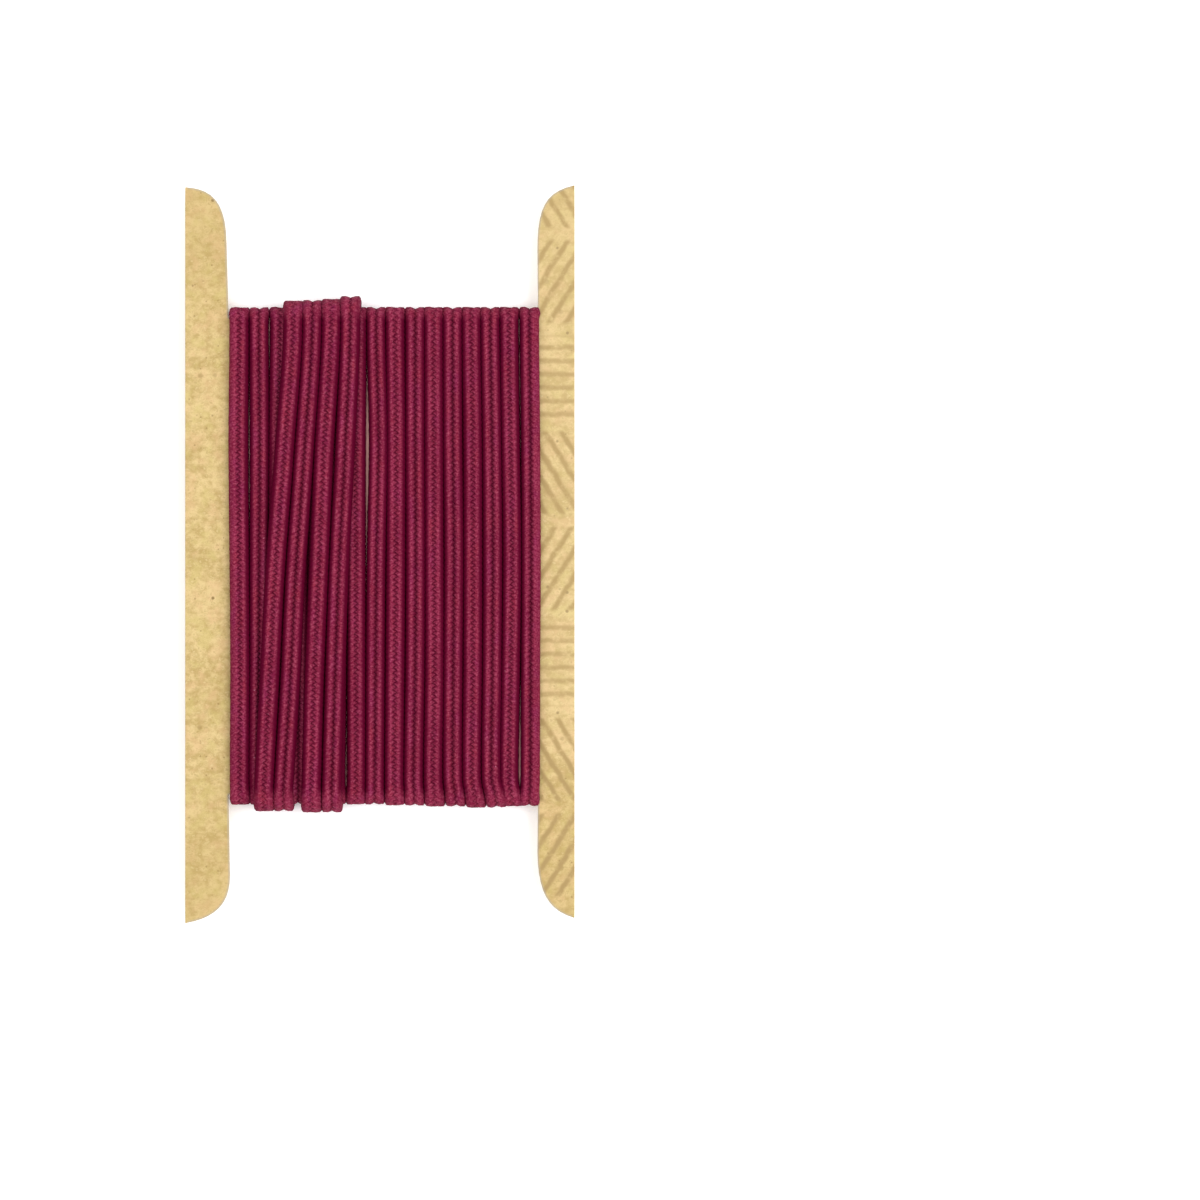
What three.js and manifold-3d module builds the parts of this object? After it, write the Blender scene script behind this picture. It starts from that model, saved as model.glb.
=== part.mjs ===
// Card of soutache braid: an H-shaped kraft board wound round its waist with flat braid.
// The braid is wound doubled, so its turns lie in pairs, and the last two pairs cross over the rest.
// Millimetres. X runs across the card, Y along its flanges, and Z up from the surface it lies on.

import * as THREE from 'three';
import { mergeVertices } from 'three/addons/utils/BufferGeometryUtils.js';
import Module from 'manifold-3d';

const wasm = await Module();
wasm.setup();

// Board, with its outline's flanges given by the table over cardShape
const cardThickness = 1.0;
const waistTop = 40.8;
const waistFoot = -41.4;
const waistCorner = 0.4;

// Braid, and the air left between it and the board
const braidWidth = 3.0;
const braidThickness = 1.4;
const clearance = 0.3;

// Heights above the board's middle plane, the same on both of its faces
const baseInner = cardThickness / 2 + clearance;
const baseOuter = baseInner + braidThickness;
const overOuter = baseOuter + braidThickness;
const middlePlane = overOuter;

// How far the layer next to the board reaches past the waist at each end
const baseHead = waistTop + clearance + braidThickness;
const baseFoot = waistFoot - clearance - braidThickness;

// Rounding of the braid: at the board's edges, and along its own two sides
const baseBend = { outer: 1.9, inner: clearance };
const overBend = { outer: 2.9, inner: clearance };
const sideRound = 0.55;
const bendSteps = 2;

// Neighbouring turns reach into each other by a seam to either side, and those on top sink into
// the turns under them. Every other turn stands a little proud, the upright ones bow a little over
// the board, and front and back runs overlap by a lap half-way round each bend.
const seam = 0.2;
const sunk = 1.0;
const proud = 0.05;
const bow = 0.06;
const lap = 0.6;
const widestTurn = 1.85;
const widestOverTurn = 1.55;

// Turns next to the board: the place across of each one's middle, at three places along the card
const baseHeights = { top: 42, low: -38, bottom: -42.5 };
const baseTurns = [
  { top: -24.3, low: -24.4, bottom: -24.3 },
  { top: -20.8, low: -21.2, bottom: -21.0 },
  { top: -17.4, low: -17.7, bottom: -17.6 },
  { top: -14.15, low: -14.2, bottom: -14.2 },
  { top: -10.8, low: -10.9, bottom: -10.9 },
  { top: -7.4, low: -7.6, bottom: -7.6 },
  { top: -4.1, low: -4.3, bottom: -4.4 },
  { top: -0.8, low: -1.0, bottom: -1.1 },
  { top: 2.4, low: 2.2, bottom: 2.5 },
  { top: 5.9, low: 5.6, bottom: 5.9 },
  { top: 9.1, low: 9.0, bottom: 9.4 },
  { top: 12.3, low: 12.3, bottom: 13.1 },
  { top: 15.6, low: 15.7, bottom: 16.5 },
  { top: 18.8, low: 19.0, bottom: 19.9 },
  { top: 22.1, low: 22.3, bottom: 22.7 },
  { top: 25.5, low: 25.8, bottom: 25.5 },
];

// Slanting turns over them, with how far each one's bends reach past the waist
const overHeights = { top: 42, upper: 18, middle: -3, lower: -22, bottom: -42.5 };
const overTurns = [
  { top: -15.0, upper: -16.4, middle: -18.0, lower: -19.1, bottom: -20.1, head: 43.7, foot: -44.2 },
  { top: -11.7, upper: -13.1, middle: -14.6, lower: -15.7, bottom: -16.8, head: 43.8, foot: -44.3 },
  { top: -8.4, upper: -9.7, middle: -10.6, lower: -11.4, bottom: -11.9, head: 44.0, foot: -44.4 },
  { top: -5.2, upper: -6.3, middle: -7.3, lower: -8.0, bottom: -8.6, head: 44.5, foot: -44.4 },
];

// Ends on the back: where the first turns start, and where the last ones turn off and stop
const startStop = 17;
const startStagger = 4;
const lastTurnOff = -4;
const lastStop = 23;
const lastDrift = 5.4;

// Place across at a height, read off a row between its columns
function placeAt(row, heights, y) {
  const columns = Object.keys(heights);
  for (let i = 1; i < columns.length; i += 1) {
    const above = columns[i - 1];
    const below = columns[i];
    if (y >= heights[below] || i === columns.length - 1) {
      const share = (heights[above] - y) / (heights[above] - heights[below]);
      return THREE.MathUtils.lerp(row[above], row[below], THREE.MathUtils.clamp(share, 0, 1));
    }
  }
  return row.top;
}

// Width to either side of a turn's middle: half-way to its neighbour, and no wider than it spreads
function reach(middles, index, step, widest, y) {
  const neighbour = middles[index + step];
  if (!neighbour) {
    return braidWidth / 2;
  }
  const half = Math.abs(neighbour(y) - middles[index](y)) / 2;
  return Math.min(half, widest) + seam;
}

// Section of a run: a flat strip with its sides chamfered, drawn one unit thick and two units wide
function stripSection(thickness) {
  const rounded = sideRound / thickness;
  const flat = 1 - sideRound / (braidWidth / 2);
  const section = new THREE.Shape();
  section.moveTo(-1, rounded);
  section.lineTo(-flat, 0);
  section.lineTo(flat, 0);
  section.lineTo(1, rounded);
  section.lineTo(1, 1 - rounded);
  section.lineTo(flat, 1);
  section.lineTo(-flat, 1);
  section.lineTo(-1, 1 - rounded);
  section.closePath();
  return section;
}

// Quarter bend at one end of a run, from half-way round the board's edge to the board's face.
// The end reaches out to y, and its inside is nearer the waist.
function quarterBend(end, inner, outer, bend) {
  const inwards = -Math.sign(end.y);
  const stations = [{ outer: [end.y, -lap], inner: [end.inside, -lap] }];
  for (let step = 0; step <= bendSteps; step += 1) {
    const turned = (Math.PI / 2) * (step / bendSteps);
    const along = inwards * (1 - Math.cos(turned));
    const down = 1 - Math.sin(turned);
    stations.push({
      outer: [end.y + along * bend.outer, outer - down * bend.outer],
      inner: [end.inside + along * bend.inner, inner - down * bend.inner],
    });
  }
  return stations;
}

// Side view of a run as stations from its head to its foot, each with its outer and inner point:
// the place along the card, and the height above the board's middle plane. An end that stops on
// the board's face has no bend.
function runStations({ inner, outer, bend, head, foot, between = [], crown = bow }) {
  const rise = (y) => crown * (1 - (y / waistTop) ** 2);
  const ending = (end) => (end.stops
    ? [{ outer: [end.y, outer], inner: [end.y, inner] }]
    : quarterBend(end, inner, outer, bend));
  return [
    ...ending(head),
    ...between.map((y) => ({ outer: [y, outer + rise(y)], inner: [y, inner + rise(y)] })),
    ...ending(foot).reverse(),
  ];
}

// Solid of a run: its section drawn out by one step for each station, then laid along the stations
function runSolid(view, side, middle, leftReach, rightReach) {
  const stations = runStations(view);
  const steps = stations.length - 1;
  const geometry = new THREE.ExtrudeGeometry(stripSection(view.outer - view.inner), {
    depth: steps,
    steps,
    bevelEnabled: false,
  });
  const points = geometry.attributes.position;
  for (let i = 0; i < points.count; i += 1) {
    const { inner, outer } = stations[Math.round(points.getZ(i))];
    const across = points.getX(i);
    const up = points.getY(i);
    const half = across < 0 ? leftReach(outer[0]) : rightReach(outer[0]);
    const y = THREE.MathUtils.lerp(inner[0], outer[0], up);
    const height = THREE.MathUtils.lerp(inner[1], outer[1], up);
    points.setXYZ(i, middle(outer[0]) + across * half, y, middlePlane + side * height);
  }
  return toSolid(geometry, side < 0);
}

function toSolid(geometry, mirrored) {
  geometry.deleteAttribute('normal');
  geometry.deleteAttribute('uv');
  const merged = mergeVertices(geometry);
  const triangles = Uint32Array.from(merged.index.array);
  if (mirrored) {
    for (let i = 0; i < triangles.length; i += 3) {
      const second = triangles[i + 1];
      triangles[i + 1] = triangles[i + 2];
      triangles[i + 2] = second;
    }
  }
  return new wasm.Manifold(new wasm.Mesh({
    numProp: 3,
    vertProperties: Float32Array.from(merged.attributes.position.array),
    triVerts: triangles,
  }));
}

function toGeometry(solid) {
  const mesh = solid.getMesh();
  const geometry = new THREE.BufferGeometry();
  geometry.setAttribute('position', new THREE.BufferAttribute(mesh.vertProperties, 3));
  geometry.setIndex(new THREE.BufferAttribute(mesh.triVerts, 1));
  geometry.computeVertexNormals();
  return geometry;
}

// A straight slanting place across, from the foot of one turn up to the head of another
function slant(footPlace, headPlace) {
  return (y) => {
    const share = (y - baseFoot) / (baseHead - baseFoot);
    return THREE.MathUtils.lerp(footPlace, headPlace, THREE.MathUtils.clamp(share, 0, 1));
  };
}

// One layer of runs that lie side by side, as a list of solids
function layer(middles, side, widest, viewOf) {
  return middles.map((middle, index) => runSolid(
    viewOf(index),
    side,
    middle,
    (y) => reach(middles, index, -1, widest, y),
    (y) => reach(middles, index, 1, widest, y),
  ));
}

function windingSolid() {
  const lastBase = baseTurns.length;
  const base = (i) => ({
    inner: baseInner,
    outer: baseOuter + (i % 2) * proud,
    bend: baseBend,
    head: { y: baseHead + (i % 2) * proud, inside: waistTop + clearance },
    foot: { y: baseFoot - (i % 2) * proud, inside: waistFoot - clearance },
  });
  const over = { inner: baseOuter - sunk, outer: overOuter, bend: overBend };
  const overHead = (y) => ({ y, inside: baseHead - sunk });
  const overFoot = (y) => ({ y, inside: baseFoot + sunk });

  // Upright runs that show on the front
  const front = baseTurns.map((row) => (y) => placeAt(row, baseHeights, y));
  const frontRuns = layer(front, 1, widestTurn, (i) => ({
    ...base(i),
    between: [baseHeights.low],
  }));

  // Runs on the back, each from a turn's foot up to the head of the next pair's like turn
  const firstPair = baseTurns.slice(0, 2).map((row) => () => row.top);
  const backRises = baseTurns.slice(2).map((row, i) => slant(baseTurns[i].bottom, row.top));
  const backRuns = layer(backRises, -1, widestTurn, base);
  const startRuns = layer(firstPair, -1, widestTurn, (i) => ({
    ...base(i),
    foot: { y: startStop + i * startStagger, stops: true },
  }));

  // Slanting runs on top of them on the front
  const slanting = overTurns.map((row) => (y) => placeAt(row, overHeights, y));
  const slantingRuns = layer(slanting, 1, widestOverTurn, (i) => ({
    ...over,
    head: overHead(overTurns[i].head),
    foot: overFoot(overTurns[i].foot),
    between: [overHeights.upper, overHeights.middle, overHeights.lower],
  }));

  // Runs over the back: from the last upright pair across to the inner slanting pair,
  // from that pair to the outer one, and the two ends, which turn in under the run beside them
  const inner = overTurns.slice(2);
  const outer = overTurns.slice(0, 2);
  const crossing = inner.map((row, i) => slant(baseTurns[lastBase - 2 + i].bottom, row.top));
  const crossingRuns = layer(crossing, -1, widestTurn, (i) => ({
    ...over,
    head: overHead(inner[i].head),
    foot: base(i).foot,
  }));
  const between = outer.map((row, i) => slant(inner[i].bottom, row.top));
  const betweenRuns = layer(between, -1, widestTurn, (i) => ({
    ...over,
    head: overHead(outer[i].head),
    foot: overFoot(inner[i].foot),
  }));
  const ends = outer.map((row) => (y) => {
    const share = THREE.MathUtils.clamp((y - lastTurnOff) / (lastStop - lastTurnOff), 0, 1);
    return row.bottom + lastDrift * share;
  });
  const endRuns = layer(ends, -1, widestTurn, (i) => ({
    ...over,
    head: { y: lastStop, stops: true },
    foot: overFoot(outer[i].foot),
    between: [lastTurnOff],
    crown: -bow,
  }));

  return [
    ...frontRuns, ...backRuns, ...startRuns,
    ...slantingRuns, ...crossingRuns, ...betweenRuns, ...endRuns,
  ].reduce((whole, run) => whole.add(run));
}

// Flanges are straight outside, as if trimmed, and round off inwards at their four ends.
// Each end is a cubic curve: the place of its inner start, two handles and its outer finish.
const flangeEnds = {
  leftHead: [[-26.5, 53.7], [-26.6, 61.2], [-29.2, 63.1], [-33.6, 63.35]],
  leftFoot: [[-25.9, -55.5], [-25.9, -60.4], [-28.4, -62.8], [-33.6, -63.7]],
  rightHead: [[27.2, 52.5], [27.2, 59.5], [28.4, 62.6], [33.6, 63.7]],
  rightFoot: [[27.2, -51.5], [27.3, -58.0], [28.9, -61.5], [33.6, -62.8]],
};
const waistLeft = -26.15;
const waistRight = 27.3;
const endSteps = 10;

function cardShape() {
  const shape = new THREE.Shape();
  const curveOut = (end) => shape.bezierCurveTo(...end[1], ...end[2], ...end[3]);
  const curveIn = (end) => shape.bezierCurveTo(...end[2], ...end[1], ...end[0]);
  shape.moveTo(...flangeEnds.leftFoot[3]);
  curveIn(flangeEnds.leftFoot);
  shape.lineTo(waistLeft, waistFoot - waistCorner);
  shape.quadraticCurveTo(waistLeft, waistFoot, waistLeft + waistCorner, waistFoot);
  shape.lineTo(waistRight - waistCorner, waistFoot);
  shape.quadraticCurveTo(waistRight, waistFoot, waistRight, waistFoot - waistCorner);
  shape.lineTo(...flangeEnds.rightFoot[0]);
  curveOut(flangeEnds.rightFoot);
  shape.lineTo(...flangeEnds.rightHead[3]);
  curveIn(flangeEnds.rightHead);
  shape.lineTo(waistRight, waistTop + waistCorner);
  shape.quadraticCurveTo(waistRight, waistTop, waistRight - waistCorner, waistTop);
  shape.lineTo(waistLeft + waistCorner, waistTop);
  shape.quadraticCurveTo(waistLeft, waistTop, waistLeft, waistTop + waistCorner);
  shape.lineTo(...flangeEnds.leftHead[0]);
  curveOut(flangeEnds.leftHead);
  shape.closePath();
  return shape;
}

const kraft = new THREE.MeshStandardMaterial({ color: '#e3c88e', roughness: 0.9, metalness: 0 });
const wine = new THREE.MeshStandardMaterial({ color: '#7c2440', roughness: 0.75, metalness: 0 });

const card = new THREE.Mesh(
  new THREE.ExtrudeGeometry(cardShape(), {
    depth: cardThickness,
    curveSegments: endSteps,
    bevelEnabled: false,
  }),
  kraft,
);
card.name = 'card';
card.position.z = middlePlane - cardThickness / 2;

const braidWinding = new THREE.Mesh(toGeometry(windingSolid()), wine);
braidWinding.name = 'braid_winding';

const group = new THREE.Group();
group.add(card, braidWinding);

export default group;
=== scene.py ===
import math

import bmesh
import bpy
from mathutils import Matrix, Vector


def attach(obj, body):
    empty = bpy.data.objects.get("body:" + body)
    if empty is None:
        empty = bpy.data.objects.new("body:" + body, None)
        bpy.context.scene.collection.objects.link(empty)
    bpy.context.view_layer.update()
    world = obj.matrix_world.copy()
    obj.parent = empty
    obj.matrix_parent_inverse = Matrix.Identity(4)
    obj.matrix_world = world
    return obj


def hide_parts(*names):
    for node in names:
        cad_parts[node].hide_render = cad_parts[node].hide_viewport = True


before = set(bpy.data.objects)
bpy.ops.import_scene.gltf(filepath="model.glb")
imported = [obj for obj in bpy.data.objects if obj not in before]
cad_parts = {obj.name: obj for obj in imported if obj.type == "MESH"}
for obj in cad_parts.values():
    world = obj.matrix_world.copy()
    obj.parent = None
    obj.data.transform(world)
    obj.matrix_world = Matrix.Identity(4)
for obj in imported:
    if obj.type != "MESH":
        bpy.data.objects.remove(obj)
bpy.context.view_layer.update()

# The table, the light and the view
# A plain white table in a white room, with a soft square lamp to either side, the right one stronger.
# The table glows a little, so that shadows stay faint. It is looked at from straight above, and the
# view's middle lies to the right of the card, as in the photograph, so the card stands at the left.
mm = 0.001
view_width = 206.9 * mm
view_middle = (38.0 * mm, -7.9 * mm)
view_height = 5.5 * mm
long_lens = 250
film = 36
room_glow = 0.84
table_glow = 0.16
lamp_side = 1.3

look = bpy.data.cameras.new("look_down")
look.lens = long_lens
look.sensor_width = film
look.clip_start = 0.01
look.clip_end = 20
camera = bpy.data.objects.new("look_down", look)
camera.location = (*view_middle, view_height + view_width * long_lens / film)
bpy.context.scene.collection.objects.link(camera)
bpy.context.scene.camera = camera
bpy.context.scene.view_settings.view_transform = "Standard"

sky = bpy.data.worlds.new("white_room")
sky.use_nodes = True
sky.node_tree.nodes["Background"].inputs["Color"].default_value = (1, 1, 1, 1)
sky.node_tree.nodes["Background"].inputs["Strength"].default_value = room_glow
bpy.context.scene.world = sky


def softbox(name, place, watts):
    """A square lamp that faces the card."""
    lamp = bpy.data.lights.new(name, "AREA")
    lamp.size = lamp_side
    lamp.energy = watts
    holder = bpy.data.objects.new(name, lamp)
    holder.location = place
    holder.rotation_euler = (-Vector(place)).to_track_quat("-Z", "Y").to_euler()
    bpy.context.scene.collection.objects.link(holder)


softbox("softbox_left", (-0.8, 0.0, 1.7), 11.0)
softbox("softbox_right", (1.15, 0.0, 1.45), 22.1)

bpy.ops.object.select_all(action="DESELECT")
bpy.ops.mesh.primitive_plane_add(size=5)
table = bpy.context.object
table.name = "table"
table_white = bpy.data.materials.new("table_white")
table_white.use_nodes = True
table_paint = table_white.node_tree.nodes["Principled BSDF"]
table_paint.inputs["Base Color"].default_value = (0.97, 0.97, 0.97, 1)
table_paint.inputs["Roughness"].default_value = 0.8
table_paint.inputs["Emission Color"].default_value = (1, 1, 1, 1)
table_paint.inputs["Emission Strength"].default_value = table_glow
table.data.materials.append(table_white)

# Kraft card
# A card die-cut from millimetre-thick kraft board, with two flanges and a waist for the braid.
# It is pressed from brown pulp, so it is mottled with darker and lighter fibres and small specks.
card_top = 4.1 * mm
card_back = 3.1 * mm
rim_inset = 0.45 * mm
edge_round = 0.12 * mm
edge_line = 0.14 * mm
face_depth = 0.05 * mm
weld = 0.001 * mm
hair = 0.01 * mm


def take(test):
    """In edit mode, selects the vertices whose place passes the test."""
    bpy.ops.mesh.select_mode(type="VERT")
    mesh = bmesh.from_edit_mesh(bpy.context.object.data)
    for vertex in mesh.verts:
        vertex.select_set(test(vertex.co))
    mesh.select_flush_mode()
    bmesh.update_edit_mesh(bpy.context.object.data)


def apply(piece, kind, **settings):
    """Adds a modifier with its settings, and applies it."""
    modifier = piece.modifiers.new(kind.lower(), kind)
    for name, value in settings.items():
        setattr(modifier, name, value)
    bpy.context.view_layer.objects.active = piece
    bpy.ops.object.modifier_apply(modifier=modifier.name)


class Tone:
    """An output socket in a material. Sums on tones add the Math nodes that they need."""

    def __init__(self, tree, socket=None):
        self.tree = tree
        self.socket = socket

    def node(self, kind, settings=None, sockets=None, output=0):
        made = self.tree.nodes.new(kind)
        for name, value in (settings or {}).items():
            setattr(made, name, value)
        for name, value in (sockets or {}).items():
            if isinstance(value, Tone):
                self.tree.links.new(value.socket, made.inputs[name])
            else:
                made.inputs[name].default_value = value
        return Tone(self.tree, made.outputs[output])

    def sum(self, operation, *values):
        return self.node("ShaderNodeMath", {"operation": operation}, dict(enumerate(values)))

    def __add__(self, other):
        return self.sum("ADD", self, other)

    __radd__ = __add__

    def __mul__(self, other):
        return self.sum("MULTIPLY", self, other)

    __rmul__ = __mul__

    def __sub__(self, other):
        return self.sum("SUBTRACT", self, other)

    def __rsub__(self, other):
        return self.sum("SUBTRACT", other, self)

    def __truediv__(self, other):
        return self.sum("DIVIDE", self, other)

    def __mod__(self, other):
        return self.sum("FLOORED_MODULO", self, other)

    def __gt__(self, other):
        return self.sum("GREATER_THAN", self, other)

    def __lt__(self, other):
        return self.sum("LESS_THAN", self, other)

    def __abs__(self):
        return self.sum("ABSOLUTE", self)

    def part(self, axis):
        """One of a vector's three parts."""
        return self.node("ShaderNodeSeparateXYZ", {}, {0: self}, output=axis)

    def between(self, low, high):
        """Rises smoothly from 0 at low to 1 at high."""
        return self.node(
            "ShaderNodeMapRange",
            {"interpolation_type": "SMOOTHSTEP"},
            {"Value": self, "From Min": low, "From Max": high},
        )

    def blend(self, first, second):
        """From the first colour to the second one as this tone goes from 0 to 1."""
        colours = [v if isinstance(v, Tone) else (*v, 1) for v in (first, second)]
        return self.node(
            "ShaderNodeMix",
            {"data_type": "RGBA"},
            {0: self, 6: colours[0], 7: colours[1]},
            output=2,
        )

    def noise(self, size, detail=2.0, stretch=(1, 1, 1)):
        """Noise in blobs of about that size in metres, longer along an axis by its stretch."""
        scale = tuple(1 / (size * longer) for longer in stretch)
        spread = self.node("ShaderNodeMapping", {}, {"Vector": self, "Scale": scale})
        return self.node("ShaderNodeTexNoise", {}, {"Vector": spread, "Scale": 1, "Detail": detail})


def new_material(name, roughness):
    """A material, its shader, and a tone from which its other nodes start."""
    material = bpy.data.materials.new(name)
    material.use_nodes = True
    shader = material.node_tree.nodes["Principled BSDF"]
    shader.inputs["Roughness"].default_value = roughness
    return material, shader, Tone(material.node_tree)


def feed(tone, shader, socket):
    """Leads a tone into one of the shader's sockets."""
    tone.tree.links.new(tone.socket, shader.inputs[socket])


kraft, kraft_shader, start = new_material("kraft_board", 0.9)
kraft_shader.inputs["Specular IOR Level"].default_value = 0.25
place = start.node("ShaderNodeTexCoord", output=3)
across = place.part(0)
along = place.part(1)
height = place.part(2)
rim = start.node("ShaderNodeAttribute", {"attribute_name": "rim"}, output=2)

cloud = place.noise(7 * mm, 3.0)
pulp = place.noise(1.1 * mm, 4.0, (1.2, 1, 1))
flecks = place.noise(0.55 * mm, 3.0, (1.3, 1, 1))
grain = place.noise(0.25 * mm, 2.0)
mottle = cloud * 0.25 + pulp * 0.35 + flecks * 0.4
board = mottle.between(0.40, 0.60).blend((0.405, 0.287, 0.108), (0.60, 0.452, 0.215))
warm = place.noise(2.6 * mm, 2.0)
board = (warm.between(0.5, 0.7) * 0.45).blend(board, (0.61, 0.40, 0.21))
board = ((1 - warm.between(0.3, 0.5)) * 0.42).blend(board, (0.50, 0.41, 0.145))
board = (flecks.between(0.58, 0.70) * 0.5).blend(board, (0.33, 0.235, 0.085))
board = ((1 - flecks.between(0.29, 0.42)) * 0.5).blend(board, (0.66, 0.52, 0.27))
board = (grain.between(0.56, 0.70) * 0.33).blend(board, (0.36, 0.25, 0.10))
end_shade = abs(along).between(30 * mm, 60 * mm)
board = (end_shade * 0.3).blend(board, (0.40, 0.285, 0.105))


def specks(place, size, chance, seed):
    """Round specks in a few of the cells of a loose net, 1 inside a speck and 0 elsewhere."""
    spread = {"Vector": place, "Location": (seed, seed, 0), "Scale": (1 / size,) * 3}
    net = {"Vector": place.node("ShaderNodeMapping", {}, spread), "Scale": 1, "Randomness": 1}
    apart = place.node("ShaderNodeTexVoronoi", {}, net)
    lot = place.node("ShaderNodeTexVoronoi", {}, net, output=1)
    drawn = place.node("ShaderNodeSeparateColor", {}, {0: lot}) < chance
    return (1 - apart.between(0.1, 0.22)) * drawn


board = (specks(place, 1.7 * mm, 0.06, 3.0) * 0.8).blend(board, (0.20, 0.13, 0.045))
board = (specks(place, 1.0 * mm, 0.14, 8.0) * 0.6).blend(board, (0.24, 0.155, 0.055))
board = (specks(place, 2.6 * mm, 0.12, 5.0) * 0.5).blend(board, (0.29, 0.20, 0.075))

# The right flange has a plain hatch, in blocks that take turns at falling, rising and level strokes.
hatch_side = 27 * mm
stroke_start = 208.7 * mm
stroke_slope = 1.6
stroke_gap = 4.6 * mm
stroke_width = 1.4 * mm
stroke_block = 16.5 * mm
block = (along + stroke_start) / stroke_block
kind = block % 3
falling = kind < 1
level = kind > 2
slope = (1 - falling * 2) * (1 - level) * stroke_slope
wobble = (place.noise(2.2 * mm) - 0.5) * 1.3 * mm
stroke_place = (along * (1 + level) + slope * across + wobble) % stroke_gap
off_middle = abs(stroke_place - stroke_gap / 2)
strokes = 1 - off_middle.between(stroke_width * 0.2, stroke_width)
block_end = abs(block % 1 - 0.5)
strokes = strokes * (1 - block_end.between(0.41, 0.46)) * (across > hatch_side)
worn = place.noise(1.2 * mm, 4.0).between(0.12, 0.52)
on_top = height > card_top - face_depth
low_end = 1 - along.between(-45 * mm, -25 * mm)
board = ((across > hatch_side) * (1 - low_end) * 0.18).blend(board, (0.70, 0.56, 0.32))
strength = 0.84 + low_end * 0.16 - level * 0.16
board = (strokes * worn * on_top * strength).blend(board, (0.345, 0.238, 0.098))

# Under the braid the board is painted a pale pink, a painted light that brightens the narrow slits
# between the strands as light thrown back from the braid would.
covered_side = 25.5 * mm
covered_end = 41 * mm
painted_light_under_braid = (abs(across) < covered_side) * (abs(along) < covered_end)
board = (painted_light_under_braid * on_top).blend(board, (0.98, 0.52, 0.47))

# The top face is painted greyish along the rims of the two notches. The straight outer sides were trimmed
# and have none.
trimmed_side = 33.2 * mm
inner_edge = (abs(across) < trimmed_side) * (height > card_top - edge_line)
board = (rim.between(0.1, 0.7) * inner_edge * 0.6).blend(board, (0.375, 0.325, 0.25))
plies = place.noise(0.22 * mm, 2.0, (14, 14, 1)).between(0.35, 0.65)
cut_edge = (height < card_top - edge_line) * (height > card_back + edge_line)
layered = plies.blend((0.277, 0.192, 0.085), (0.477, 0.354, 0.169))
board = (cut_edge * 0.8).blend(board, layered)
feed(board, kraft_shader, "Base Color")
feed(0.84 + flecks * 0.14, kraft_shader, "Roughness")
press = pulp * 0.5 + flecks * 0.35 + grain * 0.25 - strokes * 0.1
relief = start.node("ShaderNodeBump", {}, {"Strength": 0.55, "Distance": 0.09 * mm, "Height": press})
feed(relief, kraft_shader, "Normal")

bpy.ops.object.select_all(action="DESELECT")
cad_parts["card"].select_set(True)
bpy.context.view_layer.objects.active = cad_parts["card"]
bpy.ops.object.duplicate()
card = bpy.context.object
card.name = "kraft_card"
card.parent = None
for mark in [key for key in card.keys() if key.startswith("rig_")]:
    del card[mark]
bpy.ops.object.mode_set(mode="EDIT")
bpy.ops.mesh.select_all(action="SELECT")
bpy.ops.mesh.remove_doubles(threshold=weld)
bpy.ops.mesh.select_all(action="SELECT")
bpy.ops.mesh.dissolve_limited(angle_limit=math.radians(0.5))
take(lambda spot: spot.z > card_top - hair)
bpy.ops.mesh.inset(thickness=rim_inset)
bpy.ops.object.mode_set(mode="OBJECT")
uprights = set()
for edge in card.data.edges:
    ends = [card.data.vertices[i] for i in edge.vertices]
    if abs(ends[0].co.z - ends[1].co.z) > 0.5 * mm:
        uprights.update(edge.vertices)
rim_mark = card.data.attributes.new("rim", "FLOAT", "POINT")
for vertex in card.data.vertices:
    rim_mark.data[vertex.index].value = 1.0 if vertex.index in uprights else 0.0
apply(card, "BEVEL", width=edge_round, segments=2, limit_method="ANGLE", angle_limit=math.radians(60))
card.data.materials.clear()
card.data.materials.append(kraft)
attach(card, "root")
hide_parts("card")

# One stitch of the braid, in its two faces
# Soutache is plaited over two cords side by side. Bundles of thin yarn cross between the cords in
# a figure of eight, so each cord is a ridge, and the bundles meet between them like teeth.
# One face of the braid closes up into a flat zigzag, and the other keeps a deep groove.
stitch = 0.95 * mm
ring_step = stitch / 4
braid_thick = 1.4 * mm
corners = 10
half_pitch = 1.74 * mm
shoulder = 0.27 * mm
shoulder_rise = 0.08 * mm
ridge_gap = 0.03 * mm
back_overlap = 0.08 * mm
bundle_slant = 0.45


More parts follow.
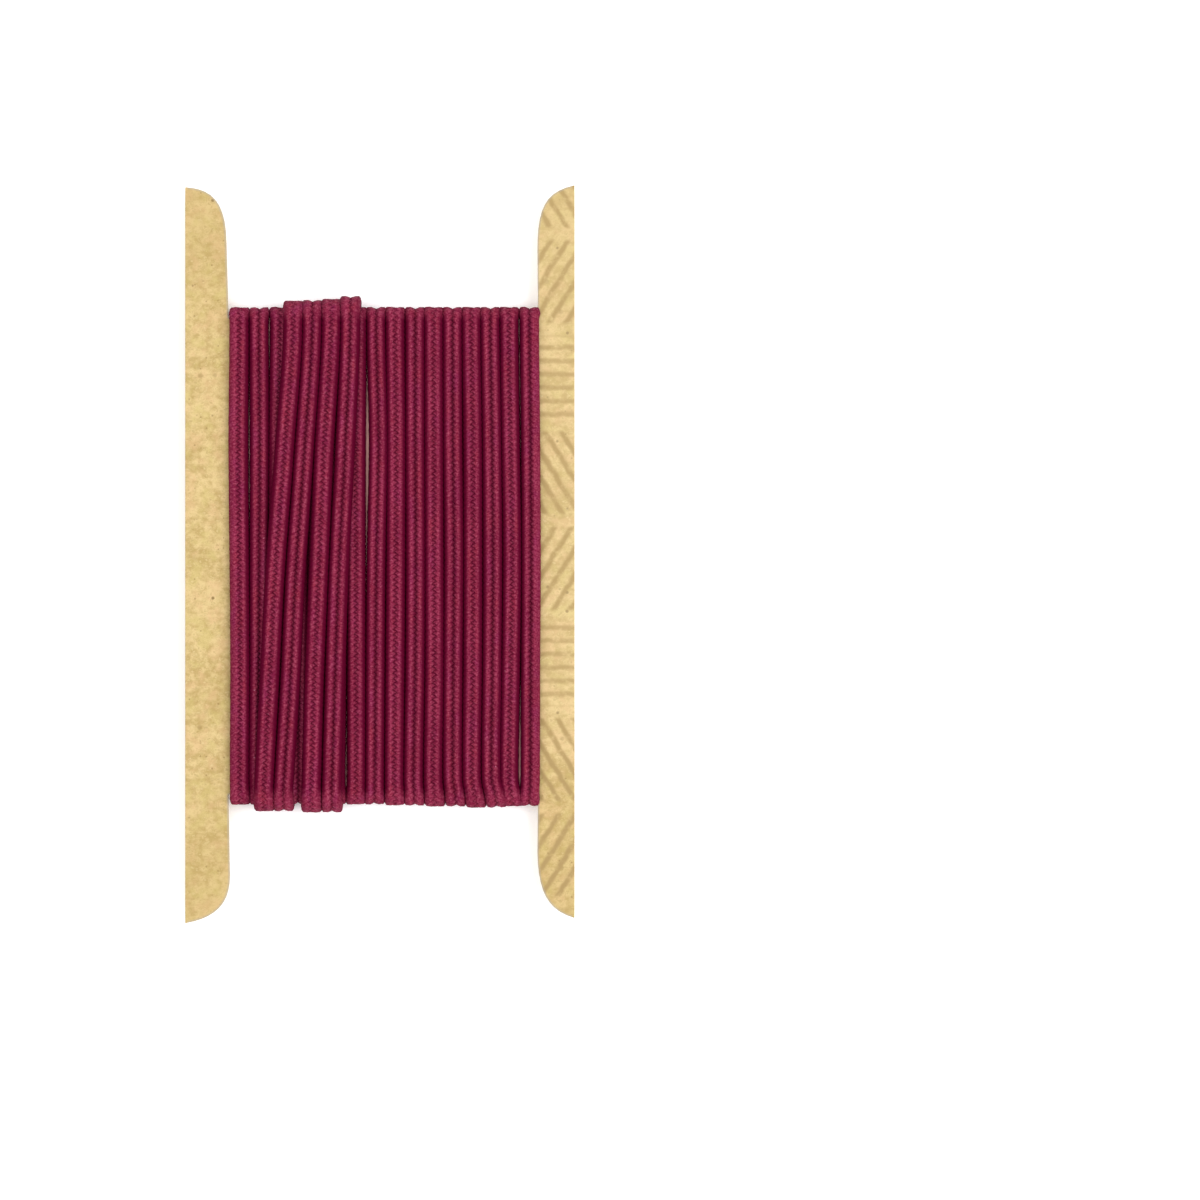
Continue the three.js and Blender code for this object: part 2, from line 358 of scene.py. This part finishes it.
def model_ridge(side, middle, half_width, tooth, notch, valley, swell):
    """One ridge of one stitch, an open tube from y 0 to one stitch long."""
    tooth_ring, notch_ring = (1, 3) if side > 0 else (3, 1)
    bpy.ops.object.select_all(action="DESELECT")
    bpy.ops.mesh.primitive_circle_add(vertices=corners, radius=1, rotation=(math.pi / 2, 0, 0))
    ridge = bpy.context.object
    bpy.ops.object.transform_apply(rotation=True)
    bpy.ops.object.mode_set(mode="EDIT")
    bpy.ops.mesh.select_all(action="SELECT")
    bpy.ops.transform.rotate(value=math.pi / 2, orient_axis="Y", center_override=(0, 0, 0))
    bpy.ops.transform.resize(value=(braid_thick / 2, 1, half_width), center_override=(0, 0, 0))
    for _ in range(4):
        bpy.ops.mesh.extrude_edges_move(TRANSFORM_OT_translate={"value": (0, ring_step, 0)})
    wrap_yarn(ridge, side)

    take(lambda spot: side * spot.z > half_width * 0.3 and spot.x > 0)
    bpy.ops.transform.translate(value=(shoulder_rise, 0, side * shoulder))
    take(lambda spot: side * spot.z > half_width * 0.8 + shoulder and spot.x > 0)
    bpy.ops.transform.translate(value=(shoulder_rise, 0, 0))
    take(lambda spot: side * spot.z < -half_width * 0.8 and spot.x > 0)
    bpy.ops.transform.translate(value=(valley, 0, -side * (middle - half_width * 0.95 - ridge_gap)))
    for ring, push, lift in ((tooth_ring, tooth, swell), (notch_ring, -notch, -swell)):
        def here(spot, ring=ring):
            return abs(spot.y - ring * ring_step) < ring_step / 3

        take(here)
        grown = 1 + 2 * lift / braid_thick
        bpy.ops.transform.resize(value=(grown, 1, grown), center_override=(0, ring * ring_step, 0))
        take(lambda spot: here(spot) and side * spot.z < -half_width * 0.45 and spot.x > 0)
        bpy.ops.transform.translate(value=(0, 0, -side * push * 0.5))
        take(lambda spot: here(spot) and side * spot.z < -half_width * 0.8 and spot.x > 0)
        bpy.ops.transform.translate(value=(abs(push) * 0.25, 0, -side * push * 0.5))
    take(lambda spot: side * spot.z > half_width * 0.5 and spot.x < 0)
    bpy.ops.transform.resize(value=(1, 1, 0), center_override=(0, 0, side * (half_pitch - middle)))
    take(lambda spot: side * spot.z < -half_width * 0.5 and spot.x < 0)
    bpy.ops.transform.resize(value=(1, 1, 0), center_override=(0, 0, -side * (middle + back_overlap)))

    bpy.ops.mesh.select_all(action="SELECT")
    bpy.ops.transform.translate(value=(0, 0, side * middle))
    bpy.ops.object.mode_set(mode="OBJECT")
    return ridge


def wrap_yarn(ridge, side):
    """Lays the map that the yarn's material reads: u once round the ridge, v once a stitch."""
    mesh = bmesh.from_edit_mesh(ridge.data)
    layer = mesh.loops.layers.uv.new("yarn")
    for face in mesh.faces:
        spots = [corner.vert.co for corner in face.loops]
        rounds = [math.atan2(side * spot.z, spot.x) / math.tau % 1 for spot in spots]
        if max(rounds) - min(rounds) > 0.5:
            rounds = [turn + 1 if turn < 0.5 else turn for turn in rounds]
        for corner, turn in zip(face.loops, rounds):
            corner[layer].uv = (turn, corner.vert.co.y / stitch + (0 if side > 0 else 0.5))
    bmesh.update_edit_mesh(ridge.data)


def slant_bundles(piece):
    """Slides what lies further out along the braid, so that the bundles slant on both ridges."""
    bpy.context.view_layer.objects.active = piece
    bpy.ops.object.mode_set(mode="EDIT")
    mesh = bmesh.from_edit_mesh(piece.data)
    for vertex in mesh.verts:
        vertex.co.y += bundle_slant * abs(vertex.co.z)
    bmesh.update_edit_mesh(piece.data)
    bpy.ops.object.mode_set(mode="OBJECT")


def model_stitch(name, **shape):
    """A stitch with both of its ridges. The braid lies along y, across z, and faces x."""
    ridges = [model_ridge(side, **shape) for side in (1, -1)]
    bpy.ops.object.select_all(action="DESELECT")
    for ridge in ridges:
        ridge.select_set(True)
    bpy.context.view_layer.objects.active = ridges[0]
    bpy.ops.object.join()
    whole = bpy.context.object
    whole.name = name
    slant_bundles(whole)
    return whole


zigzag_stitch = model_stitch(
    "zigzag_stitch",
    middle=0.66 * mm,
    half_width=0.65 * mm,
    tooth=0.34 * mm,
    notch=0.22 * mm,
    valley=0.33 * mm,
    swell=0.045 * mm,
)
groove_stitch = model_stitch(
    "groove_stitch",
    middle=0.72 * mm,
    half_width=0.61 * mm,
    tooth=0.20 * mm,
    notch=0.14 * mm,
    valley=0.06 * mm,
    swell=0.035 * mm,
)

soutache, yarn_shader, start = new_material("soutache_yarn", 0.6)
yarn_shader.inputs["Specular IOR Level"].default_value = 0.04
place = start.node("ShaderNodeTexCoord", output=3)
wrap = start.node("ShaderNodeUVMap", {"uv_map": "yarn"})
across = place.part(0)
along = place.part(1)
turn = wrap.part(0)
row = wrap.part(1)
from_face = abs((turn + 0.5) % 1 - 0.5)
bundle_side = abs((row + 0.25) % 1 - 0.5) * 2
crease = bundle_side.between(0.72, 1.0) * (0.2 + place.noise(0.8 * mm) * 0.7)
outside = turn < 0.5
outer_shade = from_face.between(-0.005, 0.09)
inner_shade = (from_face + crease * 0.06).between(-0.02, 0.16) * (0.5 + place.noise(0.7 * mm) * 0.4)

# Painted shade darkens the groove and the sides of each strand, and less of it is painted where light
# gets in:
# at the winding's two outer sides, and where the strands bend round the card.
left_side = -24.9 * mm
right_side = 26.8 * mm
bend_starts = 40.0 * mm
bend_is_full = 42.4 * mm
open_side = (across < left_side) + (across > right_side)
at_bend = abs(along).between(bend_starts, bend_is_full)
painted_shade = outer_shade * outside + inner_shade * (1 - outside)
painted_shade = painted_shade * (1 - open_side * 0.7) * (1 - at_bend * 0.6)

dye_and_painted_light = place.noise(2.5 * mm, 2.0).between(0.35, 0.65).blend((0.20, 0.0185, 0.0465), (0.23, 0.0225, 0.0565))
cast = place.noise(1.6 * mm, 2.0, (1, 2.5, 1))
dye_and_painted_light = (cast.between(0.52, 0.70) * 0.55).blend(dye_and_painted_light, (0.215, 0.018, 0.078))
dye_and_painted_light = ((1 - cast.between(0.30, 0.48)) * 0.55).blend(dye_and_painted_light, (0.255, 0.022, 0.039))
fade = place.noise(8 * mm, 1.0, (0.4, 1, 1))
dye_and_painted_light = (fade.between(0.48, 0.68) * 0.45).blend(dye_and_painted_light, (0.275, 0.029, 0.072))
dye_and_painted_light = ((1 - fade.between(0.32, 0.52)) * 0.45).blend(dye_and_painted_light, (0.165, 0.011, 0.036))
# The pale pink flecks are painted highlights of the yarn's lustre; the dark flecks are uneven tone.
tuft_and_glint = place.noise(0.3 * mm, 3.0)
dye_and_painted_light = (tuft_and_glint.between(0.5, 0.68) * 0.75).blend(dye_and_painted_light, (0.335, 0.062, 0.109))
dye_and_painted_light = ((1 - tuft_and_glint.between(0.34, 0.5)) * 0.9).blend(dye_and_painted_light, (0.13, 0.0045, 0.026))
# Painted shade: the creases between the yarn bundles are painted dark.
dye_and_painted_light = crease.blend(dye_and_painted_light, (0.155, 0.0005, 0.027))
dye_and_painted_light = (specks(place, 0.8 * mm, 0.012, 2.0) * 0.6).blend(dye_and_painted_light, (0.50, 0.17, 0.25))
# Painted shade: the groove and the strands' sides take a dark wine colour.
dye_and_painted_light = painted_shade.blend(dye_and_painted_light, (0.079, 0.0001, 0.0135))
feed(dye_and_painted_light, yarn_shader, "Base Color")
plies_a_stitch = 5
ply = start.sum("SINE", row * (math.tau * plies_a_stitch) + place.noise(0.5 * mm) * 3)
yarn_relief = ply * 0.35 - crease * 1.5 + place.noise(0.12 * mm) * 0.5
twist = start.node("ShaderNodeBump", {}, {"Strength": 0.6, "Distance": 0.035 * mm, "Height": yarn_relief})
feed(twist, yarn_shader, "Normal")
feed(0.55 + painted_shade * 0.25, yarn_shader, "Roughness")

# Upright turns
# The braid is wound doubled round the card's waist, so every turn is a pair: the left strand shows
# its zigzag face and the right one its groove. The pairs run straight down the front, round the
# foot of the waist, and slant up the back to the head of the next pair. Two tails start on the back.
middle_plane = 3.61 * mm
under = 1.375 * mm
upper = 2.8 * mm
upright_head = 41.9
upright_bend = 1.5
quarter = 0.5523
third = 1 / 3
bend_girth = 1.09
tight = 3.5 * mm
proud = 0.03 * mm
bow = 0.05 * mm
tails = ((-25.0, 17), (-22.0, 21))

# Each strand's middle across the card from its head to its foot, the height where its foot ends, how
# far the foot is lifted over the next one, and how full the strand is
strand_heights = {"upper": 20, "waist": 0, "lower": -20, "low": -38.3}
strand_columns = ("top", "upper", "waist", "lower", "low", "foot", "end", "lift", "girth")
strands = [dict(zip(strand_columns, row)) for row in (
    (-24.2, -24.36, -24.2, -24.05, -24.15, -24.05, -42.5, 0, 1),
    (-20.85, -20.73, -20.78, -20.8, -20.9, -20.7, -42.5, 0, 0.98),
    (-17.28, -17.5, -17.5, -17.4, -17.5, -17.4, -42.45, 0, 0.97),
    (-14, -14.05, -14, -14.05, -14.05, -14.05, -42.45, 0, 1),
    (-10.7, -10.7, -10.75, -10.75, -10.8, -10.75, -42.45, 0, 1),
    (-7.3, -7.2, -7.25, -7.45, -7.65, -7.55, -42.45, 0, 1),
    (-3.9, -4.06, -4.07, -4.05, -4.05, -4.15, -42.45, 0, 0.97),
    (-0.65, -0.22, -0.58, -0.75, -0.85, -0.9, -42.45, 0, 0.97),
    (2.65, 2.85, 2.8, 2.65, 2.5, 2.6, -42.6, 0, 1),
    (6.1, 6.1, 6.2, 6.1, 5.8, 6.0, -42.65, 0, 1),
    (9.3, 9.35, 9.4, 9.45, 9.2, 9.5, -42.8, 0, 1),
    (12.55, 12.6, 12.8, 12.65, 12.6, 13.1, -42.8, 0, 1),
    (15.8, 16.05, 16.1, 16.05, 15.9, 16.6, -43.0, 0, 1),
    (19.05, 19.35, 19.5, 19.4, 19.25, 20.15, -42.95, 0.35, 1),
    (22.3, 22.55, 22.85, 22.6, 22.3, 22.85, -42.75, 0, 0.97),
    (25.8, 26.0, 26.1, 26, 25.95, 25.8, -42.7, 0, 0.97),
)]


def bend(x, y, inwards, depth, rise_before, rise_after, climb):
    """The three places of a bend round the card's edge: where it starts, its outmost, its end."""
    foot = y + inwards * depth
    return [
        ((x, foot, rise_before), (0, -inwards, 0)),
        ((x, y, 0), (0, 0, climb)),
        ((x, foot, rise_after), (0, inwards, 0)),
    ]


def lay_route(places, girth):
    """A smooth curve through places, each with the direction that it is passed in, or None.

    Where the strand comes to its foot at a slant, it leans, so that its underside stays level.
    """
    points = [Vector((x * mm, y * mm, middle_plane + z)) for (x, y, z), _ in places]
    curve = bpy.data.curves.new("route", "CURVE")
    curve.dimensions = "3D"
    curve.twist_mode = "MINIMUM"
    curve.resolution_u = 16
    spline = curve.splines.new("BEZIER")
    spline.bezier_points.add(len(points) - 1)
    lean = 0
    for i, knot in enumerate(spline.bezier_points):
        before = points[max(i - 1, 0)]
        after = points[min(i + 1, len(points) - 1)]
        way = (Vector(places[i][1]) if places[i][1] else after - before).normalized()
        knot.handle_left_type = knot.handle_right_type = "FREE"
        knot.co = points[i]
        if places[i][1] == (0, 0, -1):
            lean = math.atan2(places[i - 1][1][0], abs(places[i - 1][1][1]))
        knot.tilt = math.pi + lean
        knot.radius = bend_girth if places[i][0][2] == 0 else girth
        reach = [abs((points[i] - side).dot(way)) for side in (before, after)]
        share = [quarter if size < tight else third for size in reach]
        knot.handle_left = points[i] - way * reach[0] * share[0]
        knot.handle_right = points[i] + way * reach[1] * share[1]
    route = bpy.data.objects.new("route", curve)
    bpy.context.scene.collection.objects.link(route)
    return route


# Hand-wound braid is never quite even, so every strand is a little lumpy in a way of its own.
lumps = bpy.data.textures.new("yarn_lumps", "CLOUDS")
lumps.noise_scale = 0.7 * mm
lump_size = 0.12 * mm


def wind(one_stitch, name, places, girth=1):
    """A strand of braid plaited stitch by stitch along its route, closed at both ends."""
    route = lay_route(places, girth)
    length = route.data.splines[0].calc_length()
    stitches = round(length / stitch)
    bpy.ops.object.select_all(action="DESELECT")
    one_stitch.select_set(True)
    bpy.context.view_layer.objects.active = one_stitch
    bpy.ops.object.duplicate()
    strand = bpy.context.object
    strand.name = name
    apply(
        strand,
        "ARRAY",
        count=stitches,
        use_relative_offset=False,
        use_constant_offset=True,
        constant_offset_displace=(0, stitch, 0),
        use_merge_vertices=True,
        merge_threshold=2 * weld,
        offset_v=1.0,
    )
    bpy.ops.object.mode_set(mode="EDIT")
    bpy.ops.mesh.select_all(action="SELECT")
    bpy.ops.transform.resize(value=(1, length / (stitches * stitch), 1), center_override=(0, 0, 0))
    bpy.ops.object.mode_set(mode="OBJECT")
    apply(strand, "CURVE", object=route, deform_axis="POS_Y")
    apply(strand, "DISPLACE", texture=lumps, texture_coords="LOCAL", strength=lump_size)
    bpy.ops.object.mode_set(mode="EDIT")
    bpy.ops.mesh.select_all(action="DESELECT")
    bpy.ops.mesh.select_non_manifold()
    bpy.ops.mesh.fill_holes(sides=0)
    bpy.ops.mesh.select_all(action="SELECT")
    bpy.ops.mesh.normals_make_consistent(inside=False)
    bpy.ops.object.mode_set(mode="OBJECT")
    path = route.data
    bpy.data.objects.remove(route)
    bpy.data.curves.remove(path)
    return strand


def finish_pair(name, both):
    """Joins two strands that run side by side into one finished piece."""
    bpy.ops.object.select_all(action="DESELECT")
    for strand in both:
        strand.select_set(True)
    bpy.context.view_layer.objects.active = both[0]
    bpy.ops.object.join()
    pair = bpy.context.object
    pair.name = name
    bpy.ops.object.shade_smooth()
    pair.data.materials.clear()
    pair.data.materials.append(soutache)
    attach(pair, "root")
    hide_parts("braid_winding")


def down_the_front(strand, back):
    """From the head's outmost place down the front and round the foot, to that depth on the back."""
    rise = under + proud * (strands.index(strand) % 2)
    places = [
        ((strand["top"], upright_head, 0), (0, 0, 1)),
        ((strand["top"], upright_head - upright_bend, rise), (0, -1, 0)),
    ]
    for height in ("upper", "waist", "lower"):
        places.append(((strand[height], strand_heights[height], rise + bow), None))
    lift = strand["lift"] * mm
    places.append(((strand["low"], strand_heights["low"], rise + lift / 2), None))
    around = bend(strand["foot"], strand["end"], 1, upright_bend, under + lift, -back, -1)
    sweep = strand["foot"] - strand["low"]
    drop = strand_heights["low"] - strand["end"]
    swept = strand["foot"] - sweep * upright_bend / drop
    around[0] = ((swept, *around[0][0][1:]), (sweep, -drop, 0))
    return places + around


over_heads = {"first": 43.0, "second": 43.1, "third": 43.3, "fourth": 43.8}
over_bend = 2.2
third_head = (-8.3, over_heads["third"])
fourth_head = (-5.05, over_heads["fourth"])

for pair in range(8):
    both = []
    for number in (2 * pair, 2 * pair + 1):
        strand = strands[number]
        start_places = []
        if pair == 0:
            start_places = [
                ((*tails[number], -under), (0, 1, 0)),
                ((strand["top"], upright_head - upright_bend, -under), (0, 1, 0)),
            ]
        if pair < 7:
            goal = (strands[number + 2]["top"], upright_head)
            back, goal_bend = under, upright_bend
        else:
            goal = third_head if number == 14 else fourth_head
            back, goal_bend = upper, over_bend
        places = start_places + down_the_front(strand, back)
        places += [
            ((goal[0], goal[1] - goal_bend, -back), (0, 1, 0)),
            ((*goal, 0), (0, 0, 1)),
        ]
        one = zigzag_stitch if number % 2 == 0 else groove_stitch
        both.append(wind(one, "strand", places, strand["girth"]))
    finish_pair(f"upright_pair_{pair + 1}", both)

# Slanting turns
# The last two pairs are wound back over the others. On the front they slant down to the left and
# part a little at their feet. The last ends run up the back and tuck in under the run beside them.
slant_heights = {"upper": 18, "middle": -3, "lower": -22, "low": -37}
slant_columns = ("top", "upper", "middle", "lower", "low", "foot")
slanting = [dict(zip(slant_columns, row)) for row in (
    (-14.85, -16.35, -17.95, -18.95, -19.75, -19.9),
    (-11.6, -12.95, -14.45, -15.4, -16.35, -16.6),
    (-8.3, -9.55, -10.45, -11.25, -11.65, -11.75),
    (-5.05, -5.95, -7.05, -7.7, -8.15, -8.25),
)]
slant_feet = [-43.6, -43.6, -43.8, -43.8]
turn_off = -4
last_stop = 23
last_drift = 5.4
tuck = 0.7 * mm
heads = list(over_heads.values())


def down_the_slant(number):
    """From the head's outmost place down over the upright turns."""
    strand = slanting[number]
    places = [
        ((strand["top"], heads[number], 0), (0, 0, 1)),
        ((strand["top"], heads[number] - over_bend, upper), (0, -1, 0)),
    ]
    for height, y in slant_heights.items():
        places.append(((strand[height], y, upper), None))
    return places


for name, numbers in (("slanting_pair_2", (2, 3)), ("slanting_pair_1", (0, 1))):
    both = []
    for number in numbers:
        strand = slanting[number]
        places = down_the_slant(number)
        places += bend(strand["foot"], slant_feet[number], 1, over_bend, upper, -upper, -1)
        if number > 1:
            goal = slanting[number - 2]["top"], heads[number - 2]
            places += [
                ((goal[0], goal[1] - over_bend, -upper), (0, 1, 0)),
                ((*goal, 0), (0, 0, 1)),
            ]
        else:
            places += [
                ((strand["foot"], turn_off, -upper), (0, 1, 0)),
                ((strand["foot"] + last_drift, last_stop, -upper + tuck), None),
            ]
        one = zigzag_stitch if number % 2 == 0 else groove_stitch
        both.append(wind(one, "strand", places))
    finish_pair(name, both)

# The two stitches were only patterns for the strands.
for pattern in (zigzag_stitch, groove_stitch):
    mesh = pattern.data
    bpy.data.objects.remove(pattern)
    bpy.data.meshes.remove(mesh)
